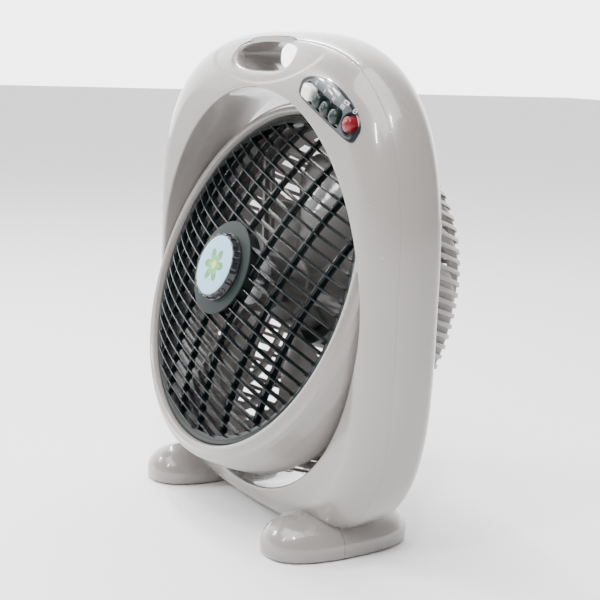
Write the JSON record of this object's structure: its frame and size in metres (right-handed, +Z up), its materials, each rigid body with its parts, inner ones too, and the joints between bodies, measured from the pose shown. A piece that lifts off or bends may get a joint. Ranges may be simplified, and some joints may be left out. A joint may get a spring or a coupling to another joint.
{
  "type": "box fan",
  "caption": "Portable fan: an oval ring frame on two feet holds a tilting round head with a turning louvre grille, push-button controls and a carrying hole.",
  "frame": {"origin": "on the ground, midway between the two feet and midway along their length", "axes": "+Z up, -Y the front that the air leaves by, +X to the right seen from the front"},
  "size_m": [0.438, 0.2337, 0.461],
  "materials": {
    "shell_plastic": "satin moulded, light warm grey",
    "fan_plastic": "moulded, pale grey",
    "trim_plastic": "high gloss, near black",
    "legend_print": "printed film",
    "key_white": "moulded, white",
    "key_dark": "moulded, green black",
    "key_red": "moulded, red",
    "louvre_plastic": "moulded, green black",
    "hub_plastic": "satin, grey green",
    "badge_film": "printed disc, pale blue",
    "pad_rubber": "matt",
    "screw_steel": "zinc plated",
    "pin_steel": "ground",
    "bush_nylon": "natural nylon",
    "washer_fibre": "pressed fibre",
    "switch_plastic": "moulded, ivory",
    "motor_paint": "dark grey paint",
    "core_steel": "laminated",
    "coil_copper": "enamelled copper wire",
    "bearing_bronze": "sintered bronze",
    "capacitor_plastic": "moulded block",
    "nut_plastic": "moulded, dark grey"
  },
  "bodies": {
    "frame": {"front_shell": "shell_plastic", "rear_shell": "shell_plastic", "foot_left_front": "shell_plastic", "foot_left_rear": "shell_plastic", "foot_right_front": "shell_plastic", "foot_right_rear": "shell_plastic", "foot_pads": "pad_rubber", "foot_screws": "screw_steel", "shell_screws": "screw_steel", "control_fascia": "trim_plastic", "legend_strip": "legend_print", "switch_block": "switch_plastic", "switch_screws": "screw_steel", "pivot_bush_left": "bush_nylon", "pivot_bush_right": "bush_nylon", "cord_gland": "trim_plastic", "run_capacitor": "capacitor_plastic"},
    "head": {"head_drum": "shell_plastic", "rear_guard": "shell_plastic", "head_screws": "screw_steel", "pivot_pin_left": "pin_steel", "pivot_pin_right": "pin_steel", "friction_washers": "washer_fibre", "louvre_carrier": "fan_plastic", "carrier_screws": "screw_steel", "louvre_motor": "pin_steel", "motor_bracket": "pin_steel", "motor_rear_case": "motor_paint", "motor_front_case": "motor_paint", "motor_screws": "screw_steel", "stator_core": "core_steel", "stator_windings": "coil_copper", "rear_bearing": "bearing_bronze", "front_bearing": "bearing_bronze"},
    "rotor": {"motor_shaft": "pin_steel", "rotor_core": "core_steel", "fan_blade": "fan_plastic", "blade_nut": "nut_plastic"},
    "louvre": {"louvre_grille": "louvre_plastic", "louvre_hub": "hub_plastic", "louvre_knob": "trim_plastic", "knob_badge": "badge_film"},
    "off_button": {"off_button": "key_white"},
    "low_button": {"low_button": "key_dark"},
    "medium_button": {"medium_button": "key_dark"},
    "high_button": {"high_button": "key_dark"},
    "louvre_button": {"louvre_button": "key_red"}
  },
  "joints": [
    {"name": "head_tilt", "type": "hinge", "parent": "frame", "child": "head", "pos_m": [0, 0.0025, 0.22], "axis": [-1, 0, 0], "range_deg": [-34.3, 10.7]},
    {"name": "fan_spin", "type": "hinge", "parent": "head", "child": "rotor", "pos_m": [0, 0.0025, 0.22], "axis": [0, -0.9438, 0.3305], "continuous": true},
    {"name": "louvre_spin", "type": "hinge", "parent": "head", "child": "louvre", "pos_m": [0, 0.0025, 0.22], "axis": [0, -0.9438, 0.3305], "continuous": true},
    {"name": "off_press", "type": "slide", "parent": "frame", "child": "off_button", "axis": [0, 1, 0], "range_m": [0, 0.003], "stiffness_N_per_m": 350, "springref_m": -0.001},
    {"name": "low_press", "type": "slide", "parent": "frame", "child": "low_button", "axis": [0, 1, 0], "range_m": [0, 0.003], "stiffness_N_per_m": 350, "springref_m": -0.001},
    {"name": "medium_press", "type": "slide", "parent": "frame", "child": "medium_button", "axis": [0, 1, 0], "range_m": [0, 0.003], "stiffness_N_per_m": 350, "springref_m": -0.001},
    {"name": "high_press", "type": "slide", "parent": "frame", "child": "high_button", "axis": [0, 1, 0], "range_m": [0, 0.003], "stiffness_N_per_m": 350, "springref_m": -0.001},
    {"name": "louvre_press", "type": "slide", "parent": "frame", "child": "louvre_button", "axis": [0, 1, 0], "range_m": [0, 0.003], "stiffness_N_per_m": 350, "springref_m": -0.001}
  ]
}
